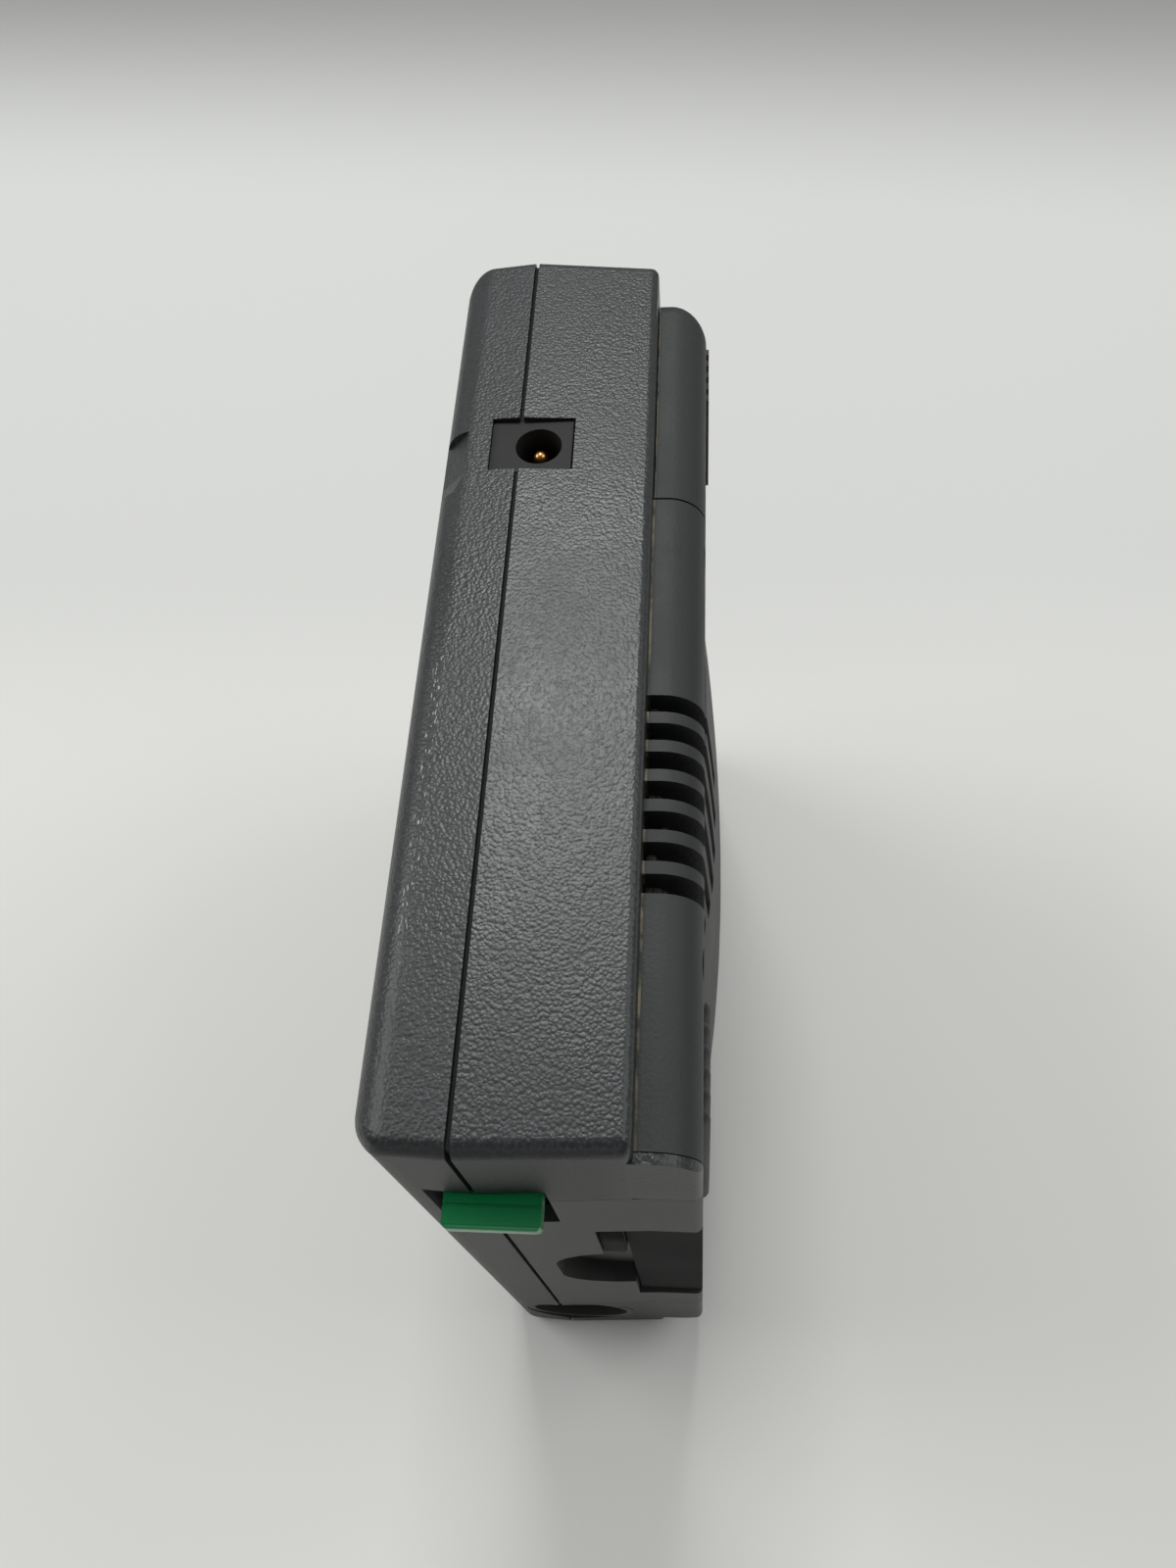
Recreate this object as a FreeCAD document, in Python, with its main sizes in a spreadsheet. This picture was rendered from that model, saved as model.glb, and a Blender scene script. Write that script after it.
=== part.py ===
import FreeCAD, Part
import os
import re

# Handheld data collector, stored standing on its long edge.
# The case frame that all the text below uses: x is the depth from the front face (keys) to the
# back cover, y runs from the near end (slide tab) to the far end, z is up from the standing edge.
# The row origin is the middle of the standing edge, so each piece is moved by -origin_x, -origin_y.

SIZES = {
    "origin_x": 19.0, "origin_y": 65.75,
    # case: two drafted shells that meet at a seam, and a lower layer on the back
    "case_length": 131.5, "case_height": 139.0,
    "front_depth": 10.4, "seam_gap": 0.6, "rear_back": 28.7, "layer_back": 35.7,
    "front_draft": 0.55, "rear_draft": 0.93,
    "wall": 2.2, "face_radius": 4.5, "side_radius": 1.8, "back_radius": 1.2,
    "seal_inset": 0.9,
    "layer_inset": 5.0, "layer_end": 128.4, "layer_wall": 1.8, "layer_radius": 5.2,
    "layer_corner": 3.6, "layer_near": 0.95, "near_radius": 1.0,
    "split_line": 88.5, "split_gap": 0.3, "flange_depth": 1.2,
    # shallow notch on the front edge between display and keys, and two nibs beside the keys
    "notch_far": 97.0, "notch_flat": 89.5, "notch_near": 86.5, "notch_depth": 0.6,
    "nib_near": 8.0, "nib_width": 4.0, "nib_rise": 0.5, "nib_length": 9.0, "nib_edge": 7.0,
    # low bulge on the back cover
    "bulge_y": 58.0, "bulge_half": 30.0, "bulge_z": 69.5, "bulge_half_z": 62.0, "bulge_rise": 2.7,
    "bulge_core": 20.0,
    # louvres: slots over the long edges of the back cover
    "slot_pitch": 4.0, "slot_width": 2.4, "slot_middle": 43.8, "slot_tip": 26.0, "slot_arc": 0.8,
    "fin_block": 9.0,
    # near end: slide slot, end panel, finger scoop, card slot at the back corner, strap cup
    "slide_x": 4.8, "slide_x_end": 18.5, "slide_z": 104.3, "slide_z_end": 121.5,
    "panel_top": 116.7, "panel_foot": 27.5, "panel_wall": 2.4, "panel_block": 24.6,
    "panel_block_depth": 5.0, "panel_gap": 0.12,
    "scoop_x": 14.7, "scoop_z": 53.0, "scoop_z_end": 80.0, "scoop_depth": 3.6, "scoop_wall": 1.0,
    "scoop_bend": 9.0,
    "bay_x": 25.4, "bay_z": 40.0, "bay_z_end": 97.0, "bay_fit": 0.3,
    "bay_step": 22.1, "bay_step_depth": 1.5,
    # memory card: standard 54 mm width and 5 mm thickness, with an end cap in the bay
    "card_width": 54.0, "card_depth": 5.0, "card_far": 84.5, "cap_set": 0.7, "cap_lap": 1.0,
    "socket_length": 1.4,
    "cup_x": 13.5, "cup_z": 15.5, "cup_radius": 8.5, "cup_wall": 1.2, "cup_front": 0.5,
    "cup_depth": 9.4, "cup_floor": 1.2, "bar_radius": 1.25, "bar_y": 3.0,
    # screws that hold the shells, and the ones that hold the back cover
    "boss_near": 17.0, "boss_far": 121.0, "boss_low": 9.2, "boss_high": 129.8,
    "front_boss": 3.2, "rear_boss": 4.0, "pilot_radius": 1.3, "pilot_floor": 3.6,
    "clear_radius": 1.6, "head_bore": 3.1, "head_seat": 15.0,
    "screw_radius": 1.25, "head_radius": 2.8, "head_depth": 1.7, "screw_tip": 4.4,
    "cover_near": 24.0, "cover_far": 82.0, "cover_low": 12.0, "cover_high": 127.0,
    "cover_boss": 3.0, "cover_post": 4.4, "cover_seat": 33.4, "cover_tip": 23.0,
    "cover_boss_floor": 22.0, "pilot_rest": 0.4, "drive_width": 0.8,
    # display window and the stack behind it
    "window_near": 99.0, "window_far": 124.0, "window_low": 13.0, "window_high": 126.0,
    "window_ledge": 2.0, "window_pocket": 1.4, "window_set": 0.2, "window_fit": 0.12,
    "gasket_depth": 0.6, "lcd_depth": 1.8, "lcd_low": 15.0, "lcd_high": 124.0,
    "lcd_near": 98.0, "lcd_far": 125.5, "lcd_rim": 1.0,
    # keys: a grid of caps with a flange behind the front wall
    "key_near": 18.0, "key_pitch_y": 19.0, "key_low": 21.5, "key_pitch_z": 19.2,
    "key_width": 11.0, "key_height": 13.0, "key_rise": 1.5, "key_fit": 0.3,
    "key_flange": 0.75, "flange_front": 2.7, "flange_back": 3.4, "key_radius": 0.7,
    "mat_front": 4.8, "mat_margin": 1.2, "dome_radius": 4.2, "dome_rise": 0.12,
    # main board
    "board_front": 5.2, "board_back": 6.8, "board_near": 4.2, "board_far": 126.4,
    "board_low": 3.2, "board_high": 135.4, "board_fit": 0.4, "cup_clear": 11.4,
    # DC inlet: board-mount barrel jack, 11 x 9 mm face, 6.3 mm bore, 2 mm pin
    "jack_width": 11.0, "jack_height": 9.0, "jack_y": 94.35, "jack_length": 13.9,
    "jack_set": 0.8, "jack_bore": 3.15, "jack_bore_depth": 9.4, "jack_pin": 1.0,
    "jack_pin_set": 1.3, "jack_axis": 13.27,
    "jack_gap_side": 0.15, "jack_gap_back": 0.3, "jack_gap_front": 0.05,
    # slide tab, its carrier and the switch
    "tab_x": 7.2, "tab_x_end": 18.2, "tab_low": 118.4, "tab_high": 121.0, "tab_out": 3.6,
    "tab_step": 0.9, "tab_groove": 0.35, "tab_radius": 0.7, "carrier_near": 2.95,
    "carrier_depth": 0.8, "carrier_low": 103.2, "carrier_high": 133.4, "carrier_side": 0.8,
    "nub_set": 1.0, "nub_width": 2.0, "nub_reach": 0.9, "switch_near": 5.0, "switch_length": 6.5,
    "switch_low": 101.0, "switch_high": 124.0, "switch_depth": 4.6,
    # nine-pin data port in the far end, across the seam
    "port_x": 11.7, "port_z": 69.5, "port_face": 131.0, "port_fit": 0.3,
    "shell_length": 17.0, "shell_width": 8.4, "shell_slant": 1.5, "shell_wall": 0.5,
    "shell_reach": 5.8, "shell_floor": 2.0, "flange_length": 25.6, "flange_width": 9.2,
    "pin_radius": 0.5, "pin_pitch": 2.77, "pin_row": 1.42, "pin_reach": 4.8,
    # battery tray and cells
    "tray_near": 90.8, "tray_far": 122.7, "tray_low": 15.3, "tray_high": 123.7,
    "tray_front": 16.6, "tray_wall": 1.2, "tray_fit": 0.2,
    "grip_low": 109.0, "grip_high": 127.0, "grip_end": 14.5, "grip_pitch": 2.4, "grip_width": 1.2,
    "grip_rise": 0.4, "grip_root": 0.3,
    "cell_radius": 7.2, "cell_length": 50.0, "cell_x": 25.4, "cell_gap": 0.3, "cell_low": 18.4,
    "cell_nub": 2.75, "cell_nub_rise": 0.8, "cell_side": 0.2,
    "plate_depth": 0.4, "spring_major": 3.2, "spring_wire": 0.35,
    "spring_rise": 0.2, "spring_bed": 1.0,
    # pieces on the board and behind the louvres
    "coin_radius": 10.0, "coin_depth": 3.2, "coin_y": 38.0, "coin_z": 40.0, "holder_wall": 0.9,
    "speaker_radius": 9.5, "speaker_depth": 3.4, "speaker_y": 44.0, "speaker_z": 107.5,
    "magnet_radius": 5.5, "magnet_depth": 1.3, "magnet_root": 0.1,
}

KEY_ROWS = 4
KEY_COLUMNS = 6
SLOTS = 7
GRIP_RIBS = 5
SPRING_TURNS = 4

doc = FreeCAD.newDocument("data_collector")
sheet = doc.addObject("Spreadsheet::Sheet", "dims")
for row, (word, size) in enumerate(SIZES.items(), start=1):
    sheet.set(f"A{row}", word)
    sheet.set(f"B{row}", str(size))
    sheet.setAlias(f"B{row}", word)
doc.recompute()

nodes = []


# ---------------------------------------------------------------- helpers

def tie(thing, prop, text):
    """Bind one property to an expression whose plain words are cells of the sheet."""
    words = re.sub(r"[a-z][a-z_]+(?!\w*\()", lambda word: f"dims.{word.group()}", text)
    thing.setExpression(prop, words)


def place(thing, x, y, z):
    tie(thing, ".Placement.Base.x", f"{x} - origin_x")
    tie(thing, ".Placement.Base.y", f"{y} - origin_y")
    tie(thing, ".Placement.Base.z", z)


def box(x, x_end, y, y_end, z, z_end):
    """A block between two corners of the case frame."""
    thing = doc.addObject("Part::Box", "block")
    tie(thing, "Length", f"({x_end}) - ({x})")
    tie(thing, "Width", f"({y_end}) - ({y})")
    tie(thing, "Height", f"({z_end}) - ({z})")
    place(thing, x, y, z)
    return thing


TURNS = {
    "x": FreeCAD.Rotation(FreeCAD.Vector(0, 1, 0), 90),
    "y": FreeCAD.Rotation(FreeCAD.Vector(1, 0, 0), -90),
    "z": FreeCAD.Rotation(),
}


def rod(axis, x, y, z, length, radius):
    """A cylinder that starts at x, y, z and runs along +axis."""
    thing = doc.addObject("Part::Cylinder", "rod")
    thing.Placement.Rotation = TURNS[axis]
    tie(thing, "Radius", radius)
    tie(thing, "Height", length)
    place(thing, x, y, z)
    return thing


def drafted(x, x_end, front, back):
    """A block whose sides taper between x and x_end; each end is (y, y_end, z, z_end)."""
    thing = doc.addObject("Part::Wedge", "taper")
    thing.Placement.Rotation = FreeCAD.Rotation(FreeCAD.Vector(1, 1, 1), -120)
    spans = {"Ymin": "0", "Ymax": f"({x_end}) - ({x})",
             "Zmin": front[0], "Zmax": front[1], "Xmin": front[2], "Xmax": front[3],
             "Z2min": back[0], "Z2max": back[1], "X2min": back[2], "X2max": back[3]}
    thing.Xmax = 10
    thing.X2max = 10
    thing.Zmax = 10
    thing.Z2max = 10
    for prop, text in spans.items():
        tie(thing, prop, text)
    tie(thing, ".Placement.Base.x", f"{x} - origin_x")
    tie(thing, ".Placement.Base.y", "0 - origin_y")
    return thing


def fuse(pieces):
    thing = doc.addObject("Part::MultiFuse", "joined")
    thing.Shapes = pieces
    return thing


def cut(base, tools):
    thing = doc.addObject("Part::Cut", "hollowed")
    thing.Base = base
    thing.Tool = tools[0] if len(tools) == 1 else fuse(tools)
    return thing


def common(base, tool):
    thing = doc.addObject("Part::Common", "kept")
    thing.Base = base
    thing.Tool = tool
    return thing


def rounded(base, rules):
    """Round the edges of base; rules are (test, radius word), a test reads an edge's and base's boxes."""
    doc.recompute()
    thing = doc.addObject("Part::Fillet", "rounded")
    thing.Base = base
    whole = base.Shape.BoundBox
    edges = []
    for number, edge in enumerate(base.Shape.Edges, start=1):
        for test, word in rules:
            if test(edge.BoundBox, whole):
                radius = float(sheet.get(word))
                edges.append((number, radius, radius))
                break
    thing.Edges = edges
    return thing


NEAR = 0.01


def front_edge(edge, whole):
    return edge.XMax < whole.XMin + NEAR


def back_edge(edge, whole):
    return edge.XMin > whole.XMax - NEAR


def depth_edge(edge, whole):
    """An edge that runs through the whole depth of the block."""
    return edge.XLength > whole.XLength - NEAR


def depth_far_edge(edge, whole):
    return depth_edge(edge, whole) and edge.YMin > whole.Center.y


def back_near_edge(edge, whole):
    return back_edge(edge, whole) and edge.YMax < whole.YMin + NEAR


def near_edge(edge, whole):
    return edge.YMax < whole.YMin + NEAR


def node(label, thing):
    thing.Label = label
    nodes.append(thing)
    return thing


def group(label, pieces):
    """Separate solids that share one node."""
    thing = doc.addObject("Part::Compound", "group")
    thing.Links = pieces
    return node(label, thing)


BOSSES = [(y, z) for y in ("boss_near", "boss_far") for z in ("boss_low", "boss_high")]
COVER_BOSSES = [(y, z) for y in ("cover_near", "cover_far") for z in ("cover_low", "cover_high")]
KEYS = [(row, column) for row in range(KEY_ROWS) for column in range(KEY_COLUMNS)]


def key_centre(row, column):
    return f"(key_near + {row} * key_pitch_y)", f"(key_low + {column} * key_pitch_z)"


# ---------------------------------------------------------------- shared cutters

def jack_opening():
    """Rectangular opening in the top wall, across the seam, that the inlet's face fills."""
    return box("board_back - jack_gap_front", "board_back + jack_width + jack_gap_back",
               "jack_y - jack_height / 2 - jack_gap_side", "jack_y + jack_height / 2 + jack_gap_side",
               "case_height - wall * 2", "case_height + wall")


def slide_slot():
    return box("slide_x", "slide_x_end", "0 - wall", "wall * 1.4", "slide_z", "slide_z_end")


def cup_hole(fit):
    return rod("y", "cup_x", "0 - wall", "cup_z", "wall * 3", f"cup_radius + cup_wall + {fit}")


def port_opening():
    """Opening in the far end for the rim of the data port."""
    return box("port_x - shell_width / 2 - port_fit", "port_x + shell_width / 2 + port_fit",
               "case_length - wall * 2", "case_length + wall",
               "port_z - shell_length / 2 - port_fit", "port_z + shell_length / 2 + port_fit")


# ---------------------------------------------------------------- shells

def front_outline(inset, x):
    """Drafted block of the front shell, each side moved in by inset, with its face at x."""
    seam = (f"{inset}", f"case_length - {inset}", f"{inset}", f"case_height - {inset}")
    face = (f"{inset} + front_draft", f"case_length - {inset} - front_draft",
            f"{inset}", f"case_height - {inset} - front_draft")
    return drafted(x, "front_depth", face, seam)


def rear_outline(inset, x_end):
    seam = (f"{inset}", f"case_length - {inset}", f"{inset}", f"case_height - {inset}")
    back = (f"{inset} + rear_draft", f"case_length - {inset} - rear_draft",
            f"{inset}", f"case_height - {inset} - rear_draft")
    return drafted("front_depth + seam_gap", x_end, seam, back)


def edge_cutter(near, far, near_depth, far_depth):
    """Cutter across the rounded front edge; its depth changes from near to far."""
    cutter = doc.addObject("Part::Wedge", "edge_cutter")
    for prop in ("Zmax", "Z2max", "Xmax", "X2max"):
        setattr(cutter, prop, 10)
    reach = "face_radius * 1.2"
    spans = {"Ymin": "0", "Ymax": f"{far} - {near}",
             "Xmin": f"0 - {reach}", "X2min": f"0 - {reach}", "Xmax": reach, "X2max": reach,
             "Zmin": f"face_radius - {near_depth}", "Z2min": f"face_radius - {far_depth}",
             "Zmax": "face_radius * 2", "Z2max": "face_radius * 2"}
    for prop, text in spans.items():
        tie(cutter, prop, text)
    cutter.Placement.Rotation = FreeCAD.Rotation(FreeCAD.Vector(0, 1, 0), -45)
    place(cutter, "face_radius", near, "case_height - front_draft - face_radius")
    return cutter


def front_shell():
    block = rounded(front_outline("0", "0"),
                    [(front_edge, "face_radius"), (depth_edge, "side_radius")])
    tools = [front_outline("wall", "wall"), jack_opening(), slide_slot(), cup_hole("panel_gap"),
             port_opening(), edge_cutter("notch_near", "notch_flat", "0", "notch_depth"),
             edge_cutter("notch_flat", "notch_far", "notch_depth", "notch_depth")]
    tools.append(box("0 - wall", "window_pocket", "window_near", "window_far",
                     "window_low", "window_high"))
    tools.append(box("0 - wall", "wall * 2", "window_near + window_ledge", "window_far - window_ledge",
                     "window_low + window_ledge", "window_high - window_ledge"))
    for row, column in KEYS:
        y, z = key_centre(row, column)
        tools.append(box("0 - wall", "wall * 2",
                         f"{y} - key_width / 2 - key_fit", f"{y} + key_width / 2 + key_fit",
                         f"{z} - key_height / 2 - key_fit", f"{z} + key_height / 2 + key_fit"))
    shell = cut(block, tools)
    bosses = [rod("x", "wall * 0.9", y, z, "front_depth - wall * 0.9", "front_boss") for y, z in BOSSES]
    pilots = [rod("x", "pilot_floor", y, z, "front_depth", "pilot_radius") for y, z in BOSSES]
    nibs = [box("0 - nib_rise", "nib_rise", "nib_near", "nib_near + nib_width",
                start, f"{start} + nib_length")
            for start in ("nib_edge", "(case_height - nib_edge - nib_length)")]
    return node("front_shell", cut(fuse([shell] + bosses + nibs), pilots))


def layer_outline(x):
    """Rounded block of the lower layer on the back, from the near end to the far end."""
    block = box(x, "layer_back", "layer_near", "layer_end", "layer_inset", "case_height - layer_inset")
    rules = [(back_near_edge, "near_radius"), (back_edge, "layer_radius"),
             (depth_far_edge, "layer_corner")]
    return rounded(block, rules)


def panel_zone(gap, depth="panel_wall"):
    """Space of the end panel: a wall of that depth, and a thicker block at the back corner."""
    top = f"panel_top + {gap}"
    thin = box("front_depth", "rear_back + wall", "0 - wall", f"{depth} + {gap}",
               f"panel_foot - {gap}", top)
    thick = box(f"panel_block - {gap}", "layer_back + wall", "0 - wall",
                f"panel_block_depth + {gap}", f"panel_foot - {gap}", top)
    return fuse([thin, thick])


def rear_shell():
    block = rounded(rear_outline("0", "rear_back"),
                    [(back_edge, "back_radius"), (depth_edge, "side_radius")])
    tray_window = box("rear_back - wall * 2", "rear_back + wall",
                      "tray_near - tray_fit", "tray_far + tray_fit",
                      "tray_low - tray_fit", "tray_high + tray_fit")
    flange_zone = box("rear_back - wall", "layer_back + wall", "0", "layer_near + flange_depth",
                      "panel_top", "case_height")
    foot_zone = box("rear_back - wall", "layer_back + wall", "0", "layer_near + flange_depth",
                    "0", "panel_foot - panel_gap")
    flanges = [common(layer_outline("rear_back - wall / 2"), zone) for zone in (flange_zone, foot_zone)]
    shell = cut(block, [rear_outline("wall", "rear_back - wall"), jack_opening(), slide_slot(),
                        cup_hole("panel_gap"), port_opening(), tray_window, card_space("bay_fit")])
    shell = cut(fuse([shell] + flanges), [panel_zone("panel_gap", "wall * 1.5")])
    bosses = [rod("x", "front_depth + seam_gap", y, z, "rear_back - wall / 2 - front_depth - seam_gap",
                  "rear_boss") for y, z in BOSSES]
    bosses += [rod("x", "cover_boss_floor", y, z, "rear_back - wall / 2 - cover_boss_floor",
                   "cover_boss") for y, z in COVER_BOSSES]
    holes = [rod("x", "front_depth", y, z, "rear_back", "clear_radius") for y, z in BOSSES]
    holes += [rod("x", "head_seat - head_depth", y, z, "rear_back", "head_bore") for y, z in BOSSES]
    holes += [rod("x", "cover_tip - pilot_rest", y, z, "rear_back", "pilot_radius") for y, z in COVER_BOSSES]
    return node("rear_shell", cut(fuse([shell] + bosses), holes))


def card_space(gap):
    """Space of the memory card behind its end cap, gap larger on every side."""
    middle = "((bay_z + bay_z_end) / 2)"
    return box(f"rear_back - {gap} / 3", f"rear_back + card_depth + {gap} / 3", "0",
               f"card_far + {gap}", f"{middle} - card_width / 2 - {gap}",
               f"{middle} + card_width / 2 + {gap}")


def finger_scoop():
    """Pocket beside the card's end cap, with a far side that is round towards the seam."""
    block = box("scoop_x", "bay_x + wall", "0 - wall", "scoop_depth", "scoop_z", "scoop_z_end")
    return rounded(block, [(scoop_edge, "scoop_bend")])


def scoop_edge(edge, whole):
    """The two edges along y at the seam side of the scoop."""
    return edge.YLength > whole.YLength - NEAR and edge.XMax < whole.XMin + NEAR


def end_panel():
    """Panel of the near end with the card bay at the back corner and the finger scoop."""
    wrap = common(layer_outline("rear_back - wall"), panel_zone("0"))
    thin = common(rear_outline("0", "rear_back"), panel_zone("0"))
    cup = box("scoop_x - scoop_wall", "bay_x", "panel_wall / 2", "scoop_depth + scoop_wall",
              "scoop_z - scoop_wall", "scoop_z_end + scoop_wall")
    bay = box("bay_x", "layer_back + wall", "0 - wall", "panel_block_depth * 2", "bay_z", "bay_z_end")
    step = box("bay_step", "bay_x + wall", "0 - wall", "bay_step_depth", "scoop_z", "bay_z_end")
    return node("end_panel", cut(fuse([wrap, thin, cup]), [bay, step, finger_scoop(), slide_slot()]))


def memory_card():
    """Card that slides out of the near end; its end cap fills the bay at the back corner."""
    card = card_space("0")
    tie(card, "Width", "card_far - panel_block_depth + cap_lap")
    tie(card, ".Placement.Base.y", "panel_block_depth - cap_lap - origin_y")
    outline = common(layer_outline("bay_x + bay_fit"),
                     box("bay_x + bay_fit", "layer_back + wall", "layer_near + cap_set",
                         "panel_block_depth - bay_fit", "bay_z + bay_fit", "bay_z_end - bay_fit"))
    node("memory_card", fuse([card, outline]))
    middle = "((bay_z + bay_z_end) / 2)"
    node("card_socket", box("rear_back", "rear_back + card_depth", "card_far + bay_fit",
                            "card_far + bay_fit + socket_length",
                            f"{middle} - card_width / 2", f"{middle} + card_width / 2"))


def louvre_slots():
    """Slots over both long edges; their tips on the back lie on an arc."""
    middle = (SLOTS - 1) / 2
    tools = []
    for index in range(SLOTS):
        offset = index - middle
        y = f"(slot_middle + {offset} * slot_pitch)"
        tip = f"(slot_tip - slot_arc * {offset * offset})"
        for z, z_end in ((f"case_height - layer_inset - {tip}", "case_height"),
                         ("0", f"layer_inset + {tip}")):
            tools.append(box("rear_back", "layer_back + bulge_rise * 2",
                             f"{y} - slot_width / 2", f"{y} + slot_width / 2", z, z_end))
        for z in (f"case_height - layer_inset - {tip}", f"layer_inset + {tip}"):
            tools.append(rod("x", "rear_back", y, z, "layer_back - rear_back + bulge_rise * 2",
                             "slot_width / 2"))
    return tools


def bulge():
    """Cap of an ellipsoid that stands bulge_rise above the back, over half axes bulge_half."""
    swell = doc.addObject("Part::Ellipsoid", "swell")
    narrowing = "sqrt(1 - pow((bulge_core - bulge_rise) / bulge_core; 2))"
    tie(swell, "Radius1", f"bulge_half_z / {narrowing}")
    tie(swell, "Radius2", "bulge_core")
    tie(swell, "Radius3", f"bulge_half / {narrowing}")
    place(swell, "(layer_back + bulge_rise - bulge_core)", "bulge_y", "bulge_z")
    keep = box("layer_back - layer_wall / 2", "layer_back + bulge_rise * 2",
               "bulge_y - bulge_half * 1.2", "split_line - split_gap / 2",
               "layer_inset + layer_radius", "case_height - layer_inset - layer_radius")
    return common(swell, keep)


def back_cover():
    """Louvred cover of the lower layer, with a low bulge."""
    zone = box("rear_back", "layer_back + wall", "layer_near + flange_depth + panel_gap",
               "split_line - split_gap / 2", "0", "case_height")
    outer = common(layer_outline("rear_back"), zone)
    inner = box("rear_back - wall", "layer_back - layer_wall",
                "panel_block_depth + layer_wall", "split_line - split_gap / 2 - layer_wall",
                "layer_inset + layer_wall", "case_height - layer_inset - layer_wall")
    span = "slot_pitch * 3.5"
    fins = [box("rear_back", "layer_back - layer_wall / 2",
                f"slot_middle - {span}", f"slot_middle + {span}", z, z_end)
            for z, z_end in (("case_height - layer_inset - fin_block",
                              "case_height - layer_inset - layer_wall / 2"),
                             ("layer_inset + layer_wall / 2", "layer_inset + fin_block"))]
    posts = [rod("x", "rear_back", y, z, "layer_back - rear_back - layer_wall / 2", "cover_post")
             for y, z in COVER_BOSSES]
    # the fin blocks stay behind the rounded edge of the outer block
    inside = common(fuse(fins + posts), layer_outline("rear_back"))
    body = fuse([cut(outer, [inner]), inside, bulge()])
    holes = [rod("x", "rear_back - wall", y, z, "layer_back", "pilot_radius") for y, z in COVER_BOSSES]
    holes += [rod("x", "cover_seat", y, z, "layer_back", "head_bore") for y, z in COVER_BOSSES]
    tools = louvre_slots() + holes + [panel_zone("panel_gap"), card_space("bay_fit")]
    return node("back_cover", cut(body, tools))


def battery_door():
    """Sliding door over the cells, with grip ribs."""
    outer = common(layer_outline("rear_back + split_gap / 2"),
                   box("rear_back", "layer_back + wall", "split_line + split_gap / 2", "case_length",
                       "0", "case_height"))
    inner = box("rear_back - wall", "layer_back - layer_wall", "split_line - wall",
                "layer_end - layer_wall", "layer_inset + layer_wall",
                "case_height - layer_inset - layer_wall")
    starts = [f"layer_end - grip_end + {index} * grip_pitch" for index in range(GRIP_RIBS)]
    ribs = [box("layer_back - grip_root", "layer_back + grip_rise", start, f"{start} + grip_width",
                "grip_low", "grip_high") for start in starts]
    return node("battery_door", fuse([cut(outer, [inner])] + ribs))


def case_seal():
    """Rubber cord that lies in the seam a little below the surface."""
    ring = cut(box("front_depth", "front_depth + seam_gap", "seal_inset", "case_length - seal_inset",
                   "seal_inset", "case_height - seal_inset"),
               [box("0", "rear_back", "wall", "case_length - wall", "wall", "case_height - wall"),
                jack_opening(), slide_slot(), cup_hole("panel_gap"), port_opening()])
    return node("case_seal", ring)


# ---------------------------------------------------------------- near end

def strap_anchor():
    radius = "cup_radius + cup_wall"
    cup = cut(rod("y", "cup_x", "cup_front", "cup_z", "cup_depth + cup_floor", radius),
              [rod("y", "cup_x", "0 - wall", "cup_z", "cup_depth + wall + cup_front", "cup_radius"),
               rod("x", "cup_x - cup_radius - cup_wall * 2", "bar_y", "cup_z",
                   "cup_radius * 2 + cup_wall * 4", "bar_radius")])
    node("strap_cup", cup)
    node("strap_bar", rod("x", "cup_x - cup_radius - cup_wall * 0.9", "bar_y", "cup_z",
                          "cup_radius * 2 + cup_wall * 1.8", "bar_radius"))


def slide_control():
    """Tab that slides down its slot, the plate behind the slot and the switch it works."""
    tab = rounded(box("tab_x", "tab_x_end", "0 - tab_out", "carrier_near", "tab_low", "tab_high"),
                  [(near_edge, "tab_radius")])
    groove = box("tab_x - wall", "tab_x_end + wall", "0 - tab_step - tab_groove", "0 - tab_step",
                 "tab_high - tab_groove", "tab_high + wall")
    node("power_tab", cut(tab, [groove]))
    plate = box("slide_x - carrier_side", "slide_x_end + carrier_side", "carrier_near",
                "carrier_near + carrier_depth", "carrier_low", "carrier_high")
    nub = box("board_back + nub_set", "board_back + nub_set + nub_width", "carrier_near + carrier_depth / 2",
              "carrier_near + carrier_depth + nub_reach",
              "tab_low", "tab_high")
    node("slide_carrier", fuse([plate, nub]))
    body = box("board_back", "board_back + switch_depth", "switch_near", "switch_near + switch_length",
               "switch_low", "switch_high")
    node("slide_switch", body)


def d_prism(inset, y, y_end):
    """D outline of the data port along y: one long side is shorter than the other."""
    prism = doc.addObject("Part::Wedge", "d_outline")
    prism.Placement.Rotation = FreeCAD.Rotation(FreeCAD.Vector(1, 1, 1), -120)
    for prop in ("Zmax", "Z2max", "Xmax", "X2max"):
        setattr(prism, prop, 10)
    half = f"(shell_length / 2 - {inset})"
    spans = {"Ymin": "0", "Ymax": f"shell_width - 2 * {inset}",
             "Zmin": "0", "Z2min": "0", "Zmax": f"({y_end}) - ({y})", "Z2max": f"({y_end}) - ({y})",
             "Xmin": f"shell_slant - {half}", "Xmax": f"{half} - shell_slant",
             "X2min": f"0 - {half}", "X2max": half}
    for prop, text in spans.items():
        tie(prism, prop, text)
    place(prism, f"port_x - shell_width / 2 + {inset}", y, "port_z")
    return prism


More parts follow.
